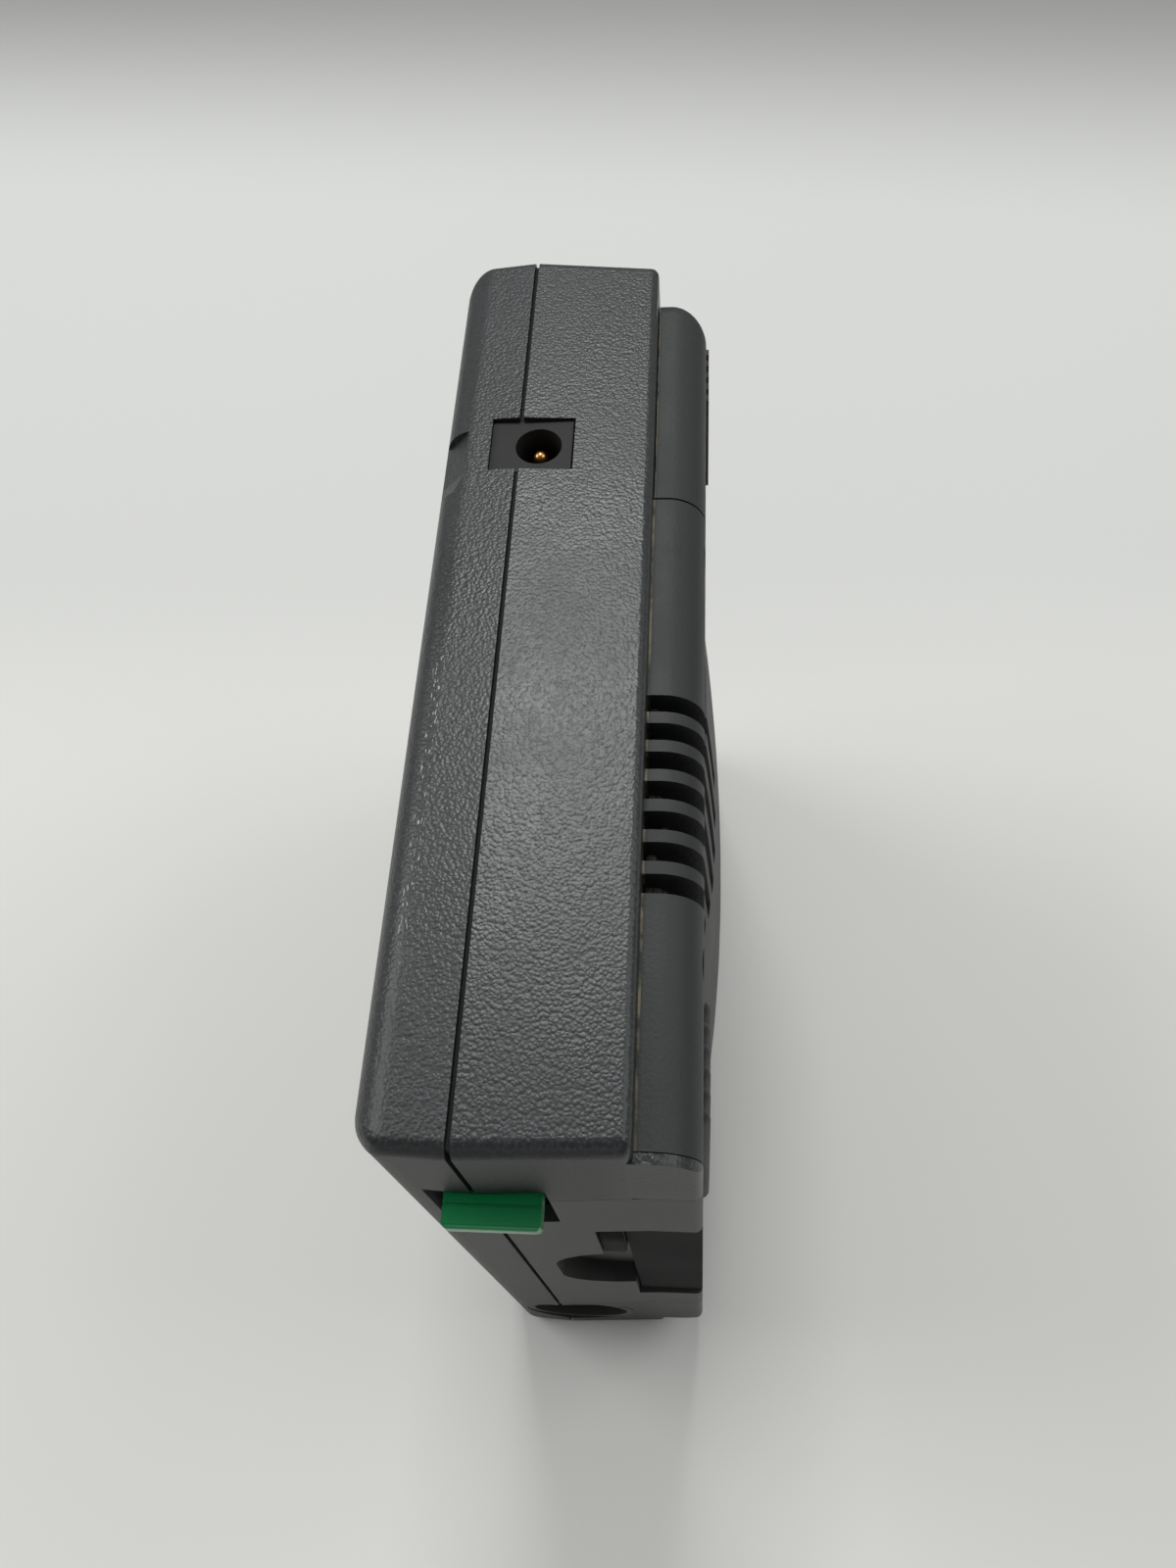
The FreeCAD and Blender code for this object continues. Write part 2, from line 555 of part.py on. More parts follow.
def data_port():
    """Nine-pin D connector: metal shell with a flange, plastic insert and pins."""
    rear = "(port_face - shell_reach)"
    flange = box("port_x - flange_width / 2", "port_x + flange_width / 2", rear, f"{rear} + shell_wall",
                 "port_z - flange_length / 2", "port_z + flange_length / 2")
    hollow = d_prism("shell_wall", f"{rear} - shell_floor", "case_length + wall")
    node("data_port_shell", cut(fuse([d_prism("0", rear, "port_face"), flange]), [hollow]))
    node("data_port_insert", d_prism("shell_wall", f"{rear} - shell_floor", f"{rear} + shell_floor / 2"))
    pins = []
    for row, count in ((-1, 4), (1, 5)):
        for index in range(count):
            offset = index - (count - 1) / 2
            pins.append(rod("y", f"port_x + {row} * pin_row", f"{rear} + shell_floor / 2",
                            f"port_z + {offset} * pin_pitch", "pin_reach - shell_floor / 2",
                            "pin_radius"))
    group("data_port_pins", pins)


def dc_inlet():
    """Board-mount barrel jack that faces up through the top wall, and its centre pin."""
    top = "case_height - jack_set"
    body = box("board_back", "board_back + jack_width", "jack_y - jack_height / 2",
               "jack_y + jack_height / 2", f"{top} - jack_length", top)
    bore = rod("z", "jack_axis", "jack_y", f"{top} - jack_bore_depth", "jack_length", "jack_bore")
    node("dc_jack_body", cut(body, [bore]))
    shank = rod("z", "jack_axis", "jack_y", f"{top} - jack_bore_depth",
                "jack_bore_depth - jack_pin_set - jack_pin", "jack_pin")
    tip = doc.addObject("Part::Sphere", "tip")
    tie(tip, "Radius", "jack_pin")
    place(tip, "jack_axis", "jack_y", f"{top} - jack_pin_set - jack_pin")
    node("dc_jack_pin", fuse([shank, tip]))


# ---------------------------------------------------------------- front face and board

def display():
    low = "window_low + window_fit"
    node("display_window", rounded(
        box("window_set", "window_pocket", "window_near + window_fit", "window_far - window_fit",
            low, "window_high - window_fit"),
        [(depth_edge, "window_fit")]))
    gasket_end = "wall + gasket_depth"
    frame = cut(box("wall", gasket_end, "lcd_near", "lcd_far", "lcd_low - lcd_rim",
                    "lcd_high + lcd_rim"),
                [box("0", "rear_back", "window_near + window_ledge", "window_far - window_ledge",
                     "window_low + window_ledge", "window_high - window_ledge")])
    node("lcd_gasket", frame)
    node("lcd_panel", box(gasket_end, f"{gasket_end} + lcd_depth", "lcd_near", "lcd_far",
                          "lcd_low", "lcd_high"))
    node("lcd_backlight", box(f"{gasket_end} + lcd_depth", "board_front",
                              "lcd_near + lcd_rim", "lcd_far - lcd_rim", "lcd_low + lcd_rim",
                              "lcd_high - lcd_rim"))


def key_cap(row, column):
    y, z = key_centre(row, column)

    def plate(x, x_end, grow):
        return box(x, x_end, f"{y} - key_width / 2 - {grow}", f"{y} + key_width / 2 + {grow}",
                   f"{z} - key_height / 2 - {grow}", f"{z} + key_height / 2 + {grow}")

    cap = rounded(plate("0 - key_rise", "flange_back", "0"),
                  [(front_edge, "key_radius"), (depth_edge, "key_radius")])
    flange = plate("flange_front", "flange_back", "key_flange")
    return node(f"key_r{row + 1}c{column + 1}", fuse([cap, flange]))


def keypad_mat():
    pieces = [box("mat_front", "board_front",
                  "key_near - key_width / 2 - mat_margin",
                  f"key_near + {KEY_ROWS - 1} * key_pitch_y + key_width / 2 + mat_margin",
                  "key_low - key_height / 2 - mat_margin",
                  f"key_low + {KEY_COLUMNS - 1} * key_pitch_z + key_height / 2 + mat_margin")]
    for row, column in KEYS:
        y, z = key_centre(row, column)
        pieces.append(rod("x", "mat_front - dome_rise", y, z, "board_front - mat_front", "dome_radius"))
    return node("keypad_mat", fuse(pieces))


def main_board():
    plate = box("board_front", "board_back", "board_near", "board_far", "board_low", "board_high")
    tools = [rod("x", "wall", y, z, "rear_back", "front_boss + board_fit") for y, z in BOSSES]
    tools.append(box("wall", "rear_back", "0", "cup_clear", "0", "cup_z + cup_clear + board_fit"))
    return node("main_board", cut(plate, tools))


# chips on the back of the board: near corner y, z, then width, height and thickness
CHIPS = {
    "processor": (46, 60, 20, 20, 2.6), "memory_a": (16, 62, 9, 18, 2.0),
    "memory_b": (28, 62, 9, 18, 2.0), "driver": (72, 84, 10, 22, 2.4),
    "regulator": (74, 112, 9, 8, 3.2), "crystal": (48, 86, 4, 10, 3.4),
    "serial_chip": (16, 86, 8, 12, 2.0), "capacitor": (74, 60, 7, 7, 6.0),
    "coil": (74, 34, 10, 10, 4.2), "logic": (50, 36, 8, 14, 1.8),
}


def board_chips():
    pieces = []
    for y, z, width, height, thickness in CHIPS.values():
        pieces.append(box("board_back", f"board_back + {thickness}", f"{y}", f"{y + width}",
                          f"{z}", f"{z + height}"))
    return group("board_chips", pieces)


def backup_cell():
    holder = cut(rod("x", "board_back", "coin_y", "coin_z", "coin_depth + holder_wall",
                     "coin_radius + holder_wall + key_fit"),
                 [rod("x", "board_back + holder_wall", "coin_y", "coin_z", "coin_depth * 2",
                      "coin_radius + key_fit")])
    node("backup_cell_holder", holder)
    node("backup_cell", rod("x", "board_back + holder_wall", "coin_y", "coin_z", "coin_depth",
                            "coin_radius"))


def speaker():
    frame = rod("x", "rear_back", "speaker_y", "speaker_z", "speaker_depth", "speaker_radius")
    magnet = rod("x", "rear_back + speaker_depth - magnet_root", "speaker_y", "speaker_z", "magnet_depth",
                 "magnet_radius")
    return node("speaker", fuse([frame, magnet]))


# ---------------------------------------------------------------- battery

def battery_tray():
    outer = box("tray_front", "rear_back", "tray_near", "tray_far", "tray_low", "tray_high")
    inner = box("tray_front + tray_wall", "rear_back + wall", "tray_near + tray_wall",
                "tray_far - tray_wall", "tray_low + tray_wall", "tray_high - tray_wall")
    return node("battery_tray", cut(outer, [inner]))


CELL_COLUMNS = ("(tray_near + tray_wall + cell_radius + cell_side)",
                "(tray_far - tray_wall - cell_radius - cell_side)")


def cells():
    number = 0
    for y in CELL_COLUMNS:
        for index in range(2):
            number += 1
            z = f"(cell_low + {index} * (cell_length + cell_nub_rise / 2 + cell_gap))"
            can = rod("z", "cell_x", y, z, "cell_length - cell_nub_rise", "cell_radius")
            nub = rod("z", "cell_x", y, z, "cell_length", "cell_nub")
            node(f"battery_cell_{number}", fuse([can, nub]))


def battery_contacts():
    pieces = []
    for y in CELL_COLUMNS:
        rings = []
        for turn in range(SPRING_TURNS):
            ring = doc.addObject("Part::Torus", "turn")
            tie(ring, "Radius1", f"spring_major - {turn} * spring_wire / 2")
            tie(ring, "Radius2", "spring_wire")
            place(ring, "cell_x", y, f"cell_low - plate_depth / 2 - spring_bed + {turn} * spring_rise")
            rings.append(ring)
        pieces.append(fuse(rings))
        pieces.append(box("cell_x - cell_nub * 2", "cell_x + cell_nub", f"{y} - cell_nub * 2",
                          f"{y} + cell_nub * 2", "tray_high - tray_wall - plate_depth",
                          "tray_high - tray_wall"))
    group("battery_contacts", pieces)


# ---------------------------------------------------------------- fasteners

def screws():
    case_set = []
    for y, z in BOSSES:
        head = rod("x", "head_seat - head_depth", y, z, "head_depth", "head_radius")
        shank = rod("x", "screw_tip", y, z, "head_seat - head_depth - screw_tip", "screw_radius")
        slot = box("head_seat - head_depth / 2", "head_seat + wall", f"{y} - head_radius",
                   f"{y} + head_radius", f"{z} - drive_width / 2", f"{z} + drive_width / 2")
        case_set.append(cut(fuse([head, shank]), [slot]))
    group("case_screws", case_set)
    cover_set = []
    for y, z in COVER_BOSSES:
        head = rod("x", "cover_seat", y, z, "head_depth", "head_radius")
        shank = rod("x", "cover_tip", y, z, "cover_seat - cover_tip", "screw_radius")
        slots = [box("cover_seat + head_depth / 2", "cover_seat + head_depth + wall",
                     f"{y} - {reach_y}", f"{y} + {reach_y}", f"{z} - {reach_z}", f"{z} + {reach_z}")
                 for reach_y, reach_z in (("drive_width / 2", "head_radius * 0.6"),
                                          ("head_radius * 0.6", "drive_width / 2"))]
        cover_set.append(cut(fuse([head, shank]), slots))
    group("cover_screws", cover_set)


# ---------------------------------------------------------------- build

front_shell()
rear_shell()
end_panel()
memory_card()
back_cover()
battery_door()
case_seal()
strap_anchor()
slide_control()
data_port()
dc_inlet()
display()
for place_in_grid in KEYS:
    key_cap(*place_in_grid)
keypad_mat()
main_board()
board_chips()
backup_cell()
speaker()
battery_tray()
cells()
battery_contacts()
screws()
doc.recompute()

failed = [thing.Label for thing in doc.Objects if "Invalid" in thing.State or "Error" in thing.State]
if failed:
    raise SystemExit(f"failed objects: {failed}")
for thing in nodes:
    shape = thing.Shape
    if shape.isNull() or not shape.isValid() or not shape.Solids:
        raise SystemExit(f"bad shape: {thing.Label}")

os.makedirs("parts", exist_ok=True)
for thing in nodes:
    thing.Shape.exportStep(f"parts/{thing.Label}.step")
    bounds = thing.Shape.BoundBox
    print(f"{thing.Label:20s} solids {len(thing.Shape.Solids):2d} volume {thing.Shape.Volume:9.1f}"
          f"  x {bounds.XMin:7.2f} {bounds.XMax:7.2f}  y {bounds.YMin:7.2f} {bounds.YMax:7.2f}"
          f"  z {bounds.ZMin:7.2f} {bounds.ZMax:7.2f}")
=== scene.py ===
import math
import random

import bmesh
import bpy
from mathutils import Matrix, Vector


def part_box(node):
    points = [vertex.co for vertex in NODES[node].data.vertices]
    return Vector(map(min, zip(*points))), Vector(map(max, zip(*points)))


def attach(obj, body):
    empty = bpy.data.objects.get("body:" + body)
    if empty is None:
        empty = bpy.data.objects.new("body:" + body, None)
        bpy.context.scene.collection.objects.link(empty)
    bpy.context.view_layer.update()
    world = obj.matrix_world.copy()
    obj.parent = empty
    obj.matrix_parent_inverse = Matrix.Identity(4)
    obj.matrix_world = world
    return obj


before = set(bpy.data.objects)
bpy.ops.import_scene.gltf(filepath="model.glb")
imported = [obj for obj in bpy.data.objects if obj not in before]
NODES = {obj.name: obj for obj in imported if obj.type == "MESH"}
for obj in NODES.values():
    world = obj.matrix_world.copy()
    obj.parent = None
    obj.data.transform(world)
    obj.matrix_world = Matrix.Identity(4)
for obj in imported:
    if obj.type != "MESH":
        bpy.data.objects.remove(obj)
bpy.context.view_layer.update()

# Handheld data collector that stands on its long edge.
# +X runs from the key face to the back cover, +Y from the slide-tab end to the display end.
MM = 0.001
FRONT_LOW, FRONT_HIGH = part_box("front_shell")
NEAR_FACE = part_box("rear_shell")[0].y
COVER_LOW, COVER_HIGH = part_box("back_cover")
DOOR_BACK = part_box("battery_door")[1].x
WINDOW_LOW, WINDOW_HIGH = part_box("display_window")
CELL_LOW, CELL_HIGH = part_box("battery_cell_1")
CELL_GAP = 0.7 * MM


# ---------------------------------------------------------------- materials

def linear(colour):
    """sRGB hex text to the linear colour that shaders read."""
    channels = [int(colour[at:at + 2], 16) / 255 for at in (1, 3, 5)]
    return [c / 12.92 if c <= 0.04045 else ((c + 0.055) / 1.055) ** 2.4 for c in channels] + [1.0]


def add(tree, kind, settings=None, inputs=None):
    """One node with its settings; each input is a number, a colour or a socket to link."""
    node = tree.nodes.new(kind)
    for name, value in (settings or {}).items():
        setattr(node, name, value)
    for name, value in (inputs or {}).items():
        if isinstance(value, bpy.types.NodeSocket):
            tree.links.new(value, node.inputs[name])
        else:
            node.inputs[name].default_value = value
    return node


MATERIALS = {}


def new_material(name):
    """Empty node material, kept by name; returns its tree."""
    material = bpy.data.materials.new(name)
    material.use_nodes = True
    tree = material.node_tree
    tree.nodes.clear()
    MATERIALS[name] = material
    return tree


def finish_surface(tree, settings):
    """Close a material with one surface shader."""
    shader = add(tree, "ShaderNodeBsdfPrincipled", None, settings)
    add(tree, "ShaderNodeOutputMaterial", None, {"Surface": shader.outputs["BSDF"]})


def multiply(tree, first, second):
    return add(tree, "ShaderNodeMath", {"operation": "MULTIPLY"}, {0: first, 1: second}).outputs[0]


def inside_patch(tree, where, centre, half):
    """1 inside an axis-aligned patch of the object, falling to 0 at its soft border."""
    apart = add(tree, "ShaderNodeVectorMath", {"operation": "SUBTRACT"}, {0: where, 1: centre})
    scaled = add(tree, "ShaderNodeVectorMath", {"operation": "DIVIDE"},
                 {0: apart.outputs[0], 1: half})
    size = add(tree, "ShaderNodeVectorMath", {"operation": "ABSOLUTE"}, {0: scaled.outputs[0]})
    parts = add(tree, "ShaderNodeSeparateXYZ", None, {0: size.outputs[0]})
    larger = add(tree, "ShaderNodeMath", {"operation": "MAXIMUM"},
                 {0: parts.outputs[0], 1: parts.outputs[1]})
    largest = add(tree, "ShaderNodeMath", {"operation": "MAXIMUM"},
                  {0: larger.outputs[0], 1: parts.outputs[2]})
    return add(tree, "ShaderNodeMapRange", None,
               {"Value": largest.outputs[0], "From Min": 1.0, "From Max": 0.7}).outputs[0]


def marked(tree, where, base, mark):
    """Lay one kind of mark (scuffs, dust or a stain) over the base colour inside its patch."""
    stretch = add(tree, "ShaderNodeVectorMath", {"operation": "MULTIPLY"},
                  {0: where, 1: mark.get("stretch", (1, 1, 1))})
    specks = add(tree, "ShaderNodeTexNoise", None,
                 {"Vector": stretch.outputs[0], "Scale": 1 / (mark["grain_mm"] * MM),
                  "Detail": 3.0, "Roughness": 0.6})
    cover = add(tree, "ShaderNodeMapRange", None,
                {"Value": specks.outputs["Fac"], "From Min": mark["from"],
                 "From Max": mark["from"] + mark.get("blend", 0.04)})
    patch = inside_patch(tree, where, mark["centre"], mark["half"])
    amount = multiply(tree, multiply(tree, cover.outputs[0], patch), mark.get("strength", 1.0))
    return add(tree, "ShaderNodeMix", {"data_type": "RGBA"},
               {0: amount, 6: base, 7: linear(mark["colour"])}).outputs[2]


def moulded(name, colour, roughness, grain_mm, grain_depth_mm, mottle=0.08, fine=0.4,
            marks=(), glint_and_shade=0.0, end_roughness=None, **surface):
    """Moulded plastic or rubber: rounded grain cells with finer texture, and slight mottling.

    The argument before end_roughness paints a highlight on each cell's top and paints shade into
    the valleys between cells.
    With end_roughness, the face at the near end has a duller and shallower grain."""
    tree = new_material(name)
    where = add(tree, "ShaderNodeTexCoord").outputs["Object"]
    wander = add(tree, "ShaderNodeTexNoise", None,
                 {"Vector": where, "Scale": 0.4 / (grain_mm * MM), "Detail": 1.0})
    shift = add(tree, "ShaderNodeVectorMath", {"operation": "MULTIPLY_ADD"},
                {0: wander.outputs["Color"], 1: (grain_mm * MM,) * 3, 2: where})
    cells = add(tree, "ShaderNodeTexVoronoi", {"feature": "SMOOTH_F1"},
                {"Vector": shift.outputs[0], "Scale": 1 / (grain_mm * MM), "Smoothness": 0.35})
    texture = add(tree, "ShaderNodeTexNoise", None,
                  {"Vector": where, "Scale": 3.0 / (grain_mm * MM), "Detail": 2.0})
    height = add(tree, "ShaderNodeMath", {"operation": "MULTIPLY_ADD"},
                 {0: texture.outputs["Fac"], 1: fine, 2: cells.outputs["Distance"]})
    at_end = add(tree, "ShaderNodeMapRange", None,
                 {"Value": add(tree, "ShaderNodeSeparateXYZ", None, {0: where}).outputs[1],
                  "From Min": NEAR_FACE + 1.4 * MM, "From Max": NEAR_FACE + 0.7 * MM})
    depth = add(tree, "ShaderNodeMapRange", None,
                {"Value": at_end.outputs[0], "To Min": grain_depth_mm * MM,
                 "To Max": (0.35 if end_roughness else 1.0) * grain_depth_mm * MM})
    bump = add(tree, "ShaderNodeBump", {"invert": True},
               {"Strength": 1.0, "Distance": depth.outputs[0], "Height": height.outputs[0]})
    cloud = add(tree, "ShaderNodeTexNoise", None, {"Vector": where, "Scale": 60.0, "Detail": 3.0})
    shade = add(tree, "ShaderNodeMapRange", None,
                {"Value": cloud.outputs["Fac"], "From Min": 0.3, "From Max": 0.7,
                 "To Min": 1 - mottle, "To Max": 1 + mottle})
    # painted highlight on the top of each grain cell and painted shade in the valleys between
    # cells
    cell_glint_shade = add(tree, "ShaderNodeMapRange", None,
               {"Value": cells.outputs["Distance"], "From Min": 0.1, "From Max": 0.6,
                "To Min": 1 + glint_and_shade, "To Max": 1 - glint_and_shade})
    tint = add(tree, "ShaderNodeVectorMath", {"operation": "SCALE"},
               {0: linear(colour)[:3],
                "Scale": multiply(tree, shade.outputs[0], cell_glint_shade.outputs[0])}).outputs[0]
    for mark in marks:
        tint = marked(tree, where, tint, mark)
    gloss = add(tree, "ShaderNodeMapRange", None,
                {"Value": cloud.outputs["Fac"], "From Min": 0.3, "From Max": 0.7,
                 "To Min": roughness - 0.04, "To Max": roughness + 0.04})
    dulled = add(tree, "ShaderNodeMix", {"data_type": "FLOAT"},
                 {0: at_end.outputs[0], 2: gloss.outputs[0], 3: end_roughness or roughness})
    finish_surface(tree, {"Base Color": tint, "Roughness": dulled.outputs[0], "IOR": 1.53,
                          "Normal": bump.outputs["Normal"], **surface})


def metal(name, colour, roughness, lay_mm, lay=(1, 1, 1)):
    """Bare or plated metal with fine drawing marks along one direction."""
    tree = new_material(name)
    where = add(tree, "ShaderNodeTexCoord").outputs["Object"]
    along = add(tree, "ShaderNodeVectorMath", {"operation": "MULTIPLY"}, {0: where, 1: lay})
    marks = add(tree, "ShaderNodeTexNoise", None,
                {"Vector": along.outputs[0], "Scale": 1 / (lay_mm * MM), "Detail": 3.0})
    gloss = add(tree, "ShaderNodeMapRange", None,
                {"Value": marks.outputs["Fac"], "To Min": roughness - 0.08,
                 "To Max": roughness + 0.12})
    bump = add(tree, "ShaderNodeBump", None,
               {"Strength": 0.4, "Distance": 0.01 * MM, "Height": marks.outputs["Fac"]})
    dull = add(tree, "ShaderNodeMapRange", None,
               {"Value": marks.outputs["Fac"], "To Min": 0.8, "To Max": 1.05})
    tint = add(tree, "ShaderNodeVectorMath", {"operation": "SCALE"},
               {0: linear(colour)[:3], "Scale": dull.outputs[0]})
    finish_surface(tree, {"Base Color": tint.outputs[0], "Metallic": 1.0,
                          "Roughness": gloss.outputs[0], "Normal": bump.outputs["Normal"]})


# Marks: each has a patch (its centre and half size), a colour and a grain. It shows where the
# noise is above "from".
# chalky scuffs rubbed into the rounded front edge
EDGE_SCUFFS = {"centre": (FRONT_LOW.x + 4.1 * MM, -24 * MM, FRONT_HIGH.z - 1.5 * MM),
               "half": (0.8 * MM, 23 * MM, 4 * MM), "colour": "#b9bbb6", "grain_mm": 0.45,
               "stretch": (2.0, 0.4, 1), "from": 0.60, "blend": 0.05, "strength": 0.8}
# pale dust that has settled where the cover meets the shell
JOINT_DUST = {"centre": (COVER_LOW.x, 0, COVER_HIGH.z), "half": (0.32 * MM, 70 * MM, 6 * MM),
              "colour": "#8d8468", "grain_mm": 1.5, "stretch": (1, 0.5, 1), "from": 0.40,
              "blend": 0.2, "strength": 0.75}
# brown finger stain on the rounded edge of the cover
STAIN = {"centre": (COVER_LOW.x + 1.9 * MM, 10 * MM, COVER_HIGH.z),
         "half": (2.2 * MM, 6 * MM, 4 * MM), "colour": "#15130f", "grain_mm": 2.2,
         "from": 0.46, "blend": 0.10, "strength": 0.7}

# acrylonitrile butadiene styrene moulded in a spark-eroded tool: pebbled, with a soft sheen.
# The pebbles are drawn a little coarser than real ones, so that they show.
# this finish paints a glint on each pebble's top and paints shade into the valleys between pebbles
moulded("pebble_grained_abs", "#212526", 0.37, 0.44, 0.056, fine=0.25, glint_and_shade=0.35,
        marks=[EDGE_SCUFFS], end_roughness=0.56)
# the same resin with a finer etch on the end panel and strap cup
moulded("fine_grained_abs", "#2c2d2b", 0.54, 0.32, 0.022)
# the same resin from a lightly blasted tool: smoother, with a satin sheen
moulded("satin_abs", "#1d2020", 0.58, 0.45, 0.022, marks=[JOINT_DUST, STAIN])
# nitrile cord: flat black-grey and slightly dusty
moulded("nitrile_cord", "#151616", 0.80, 0.60, 0.015)
# glass-filled nylon: black, dull, with a dry fibre texture
moulded("filled_nylon", "#1c1d1e", 0.55, 0.30, 0.012)
# polybutylene terephthalate connector body: dark, with a fine even satin
moulded("satin_pbt", "#121211", 0.72, 0.25, 0.005, mottle=0.05)
# polished-tool coloured ABS: glossy, slightly wavy
moulded("gloss_green_abs", "#01864a", 0.24, 1.60, 0.006, mottle=0.05, fine=0.1)
# keycaps moulded in a mid grey with a fine grip texture
moulded("keycap_abs", "#6d7172", 0.50, 0.35, 0.015)
# coated card edge and its moulded end cap: near black and even
moulded("card_cap_abs", "#0b0b0c", 0.85, 0.40, 0.008, mottle=0.05, **{"Specular IOR Level": 0.2})
# silicone: translucent grey sheet, soft sheen
moulded("moulded_silicone", "#8b8d8c", 0.60, 0.80, 0.010)
# closed-cell foam: black, with open pits
moulded("closed_cell_foam", "#1d1d1d", 0.90, 0.50, 0.120)
# white light guide behind the display
moulded("polycarbonate_guide", "#dfe2e0", 0.35, 1.20, 0.006)
# epoxy chip packages: black, slightly speckled
moulded("moulded_epoxy", "#1a1b1c", 0.55, 0.20, 0.010)
# grille lint: felted brown-grey fibres behind the louvres
moulded("grille_lint", "#55514a", 0.95, 0.35, 0.150, mottle=0.35)
# printing ink on the case: flat pale grey
moulded("pad_print_ink", "#c4c7c5", 0.55, 0.25, 0.004)

metal("nickel_plate", "#b9b6ae", 0.32, 0.30, (1, 0.15, 1))
metal("turned_brass", "#c58f55", 0.28, 0.15)
metal("gold_flash", "#d8b060", 0.25, 0.20)


def solder_mask():
    """Epoxy-glass board under green solder mask: glossy, with the weave faintly showing."""
    tree = new_material("green_solder_mask")
    where = add(tree, "ShaderNodeTexCoord").outputs["Object"]
    tracks = add(tree, "ShaderNodeTexBrick", None,
                 {"Vector": where, "Scale": 120.0, "Color1": linear("#0f5a36"),
                  "Color2": linear("#0d5030"), "Mortar": linear("#16713f"), "Mortar Size": 0.03})
    bump = add(tree, "ShaderNodeBump", None,
               {"Strength": 0.3, "Distance": 0.03 * MM, "Height": tracks.outputs["Fac"]})
    finish_surface(tree, {"Base Color": tracks.outputs["Color"], "Roughness": 0.3, "IOR": 1.5,
                          "Normal": bump.outputs["Normal"]})


def cell_sleeve():
    """Shrink sleeve on a cell: dark film with one copper-coloured band round its middle."""
    tree = new_material("shrink_sleeve")
    where = add(tree, "ShaderNodeTexCoord").outputs["Object"]
    height = add(tree, "ShaderNodeSeparateXYZ", None, {0: where}).outputs[2]
    length = CELL_HIGH.z - CELL_LOW.z
    # two cells stand end to end, so the band repeats after a cell and the gap to the next
    turn = add(tree, "ShaderNodeMath", {"operation": "FLOORED_MODULO"},
               {0: height, 1: length + CELL_GAP})
    band = add(tree, "ShaderNodeMath", {"operation": "GREATER_THAN"},
               {0: turn.outputs[0], 1: length * 0.7})
    tint = add(tree, "ShaderNodeMix", {"data_type": "RGBA"},
               {0: band.outputs[0], 6: linear("#23262b"), 7: linear("#a86a3a")})
    ripple = add(tree, "ShaderNodeTexNoise", None, {"Vector": where, "Scale": 500.0})
    bump = add(tree, "ShaderNodeBump", None,
               {"Strength": 0.3, "Distance": 0.05 * MM, "Height": ripple.outputs["Fac"]})
    finish_surface(tree, {"Base Color": tint.outputs[2], "Roughness": 0.25,
                          "Normal": bump.outputs["Normal"]})


def clear_acrylic():
    """Clear acrylic window with a black border printed on its back."""
    tree = new_material("clear_acrylic")
    where = add(tree, "ShaderNodeTexCoord").outputs["Object"]
    centre = (WINDOW_LOW + WINDOW_HIGH) / 2
    # the clear view stops short of the window's edges, and runs right through its thickness
    half = (WINDOW_HIGH - WINDOW_LOW) / 2 - Vector((-5, 3, 4)) * MM
    view = inside_patch(tree, where, tuple(centre), tuple(half))
    edge = add(tree, "ShaderNodeMath", {"operation": "GREATER_THAN"}, {0: view, 1: 0.02})
    haze = add(tree, "ShaderNodeTexNoise", None, {"Vector": where, "Scale": 700.0, "Detail": 3.0})
    gloss = add(tree, "ShaderNodeMapRange", None,
                {"Value": haze.outputs["Fac"], "To Min": 0.05, "To Max": 0.12})
    clear = add(tree, "ShaderNodeBsdfPrincipled", None,
               {"Base Color": linear("#8f9690"), "Roughness": gloss.outputs[0], "IOR": 1.49,
                "Transmission Weight": 1.0})
    border = add(tree, "ShaderNodeBsdfPrincipled", None,
                 {"Base Color": linear("#15171a"), "Roughness": gloss.outputs[0], "IOR": 1.49})
    mixed = add(tree, "ShaderNodeMixShader", None,
                {0: edge.outputs[0], 1: border.outputs[0], 2: clear.outputs[0]})
    add(tree, "ShaderNodeOutputMaterial", None, {"Surface": mixed.outputs[0]})


def lcd_cell():
    """Reflective liquid crystal cell: grey-green with rows of faint unlit dots."""
    tree = new_material("lcd_cell")
    where = add(tree, "ShaderNodeTexCoord").outputs["Object"]
    parts = add(tree, "ShaderNodeSeparateXYZ", None, {0: where})
    flat = add(tree, "ShaderNodeCombineXYZ", None, {0: parts.outputs[2], 1: parts.outputs[1]})
    dots = add(tree, "ShaderNodeTexBrick", {"offset": 0.0},
               {"Vector": flat.outputs[0], "Scale": 1000.0, "Color1": linear("#6f7c66"),
                "Color2": linear("#6d7a64"), "Mortar": linear("#7f8c74"), "Mortar Size": 0.12,
                "Brick Width": 0.6, "Row Height": 0.6})
    finish_surface(tree, {"Base Color": dots.outputs["Color"], "Roughness": 0.35, "IOR": 1.5})


solder_mask()
cell_sleeve()
clear_acrylic()
lcd_cell()

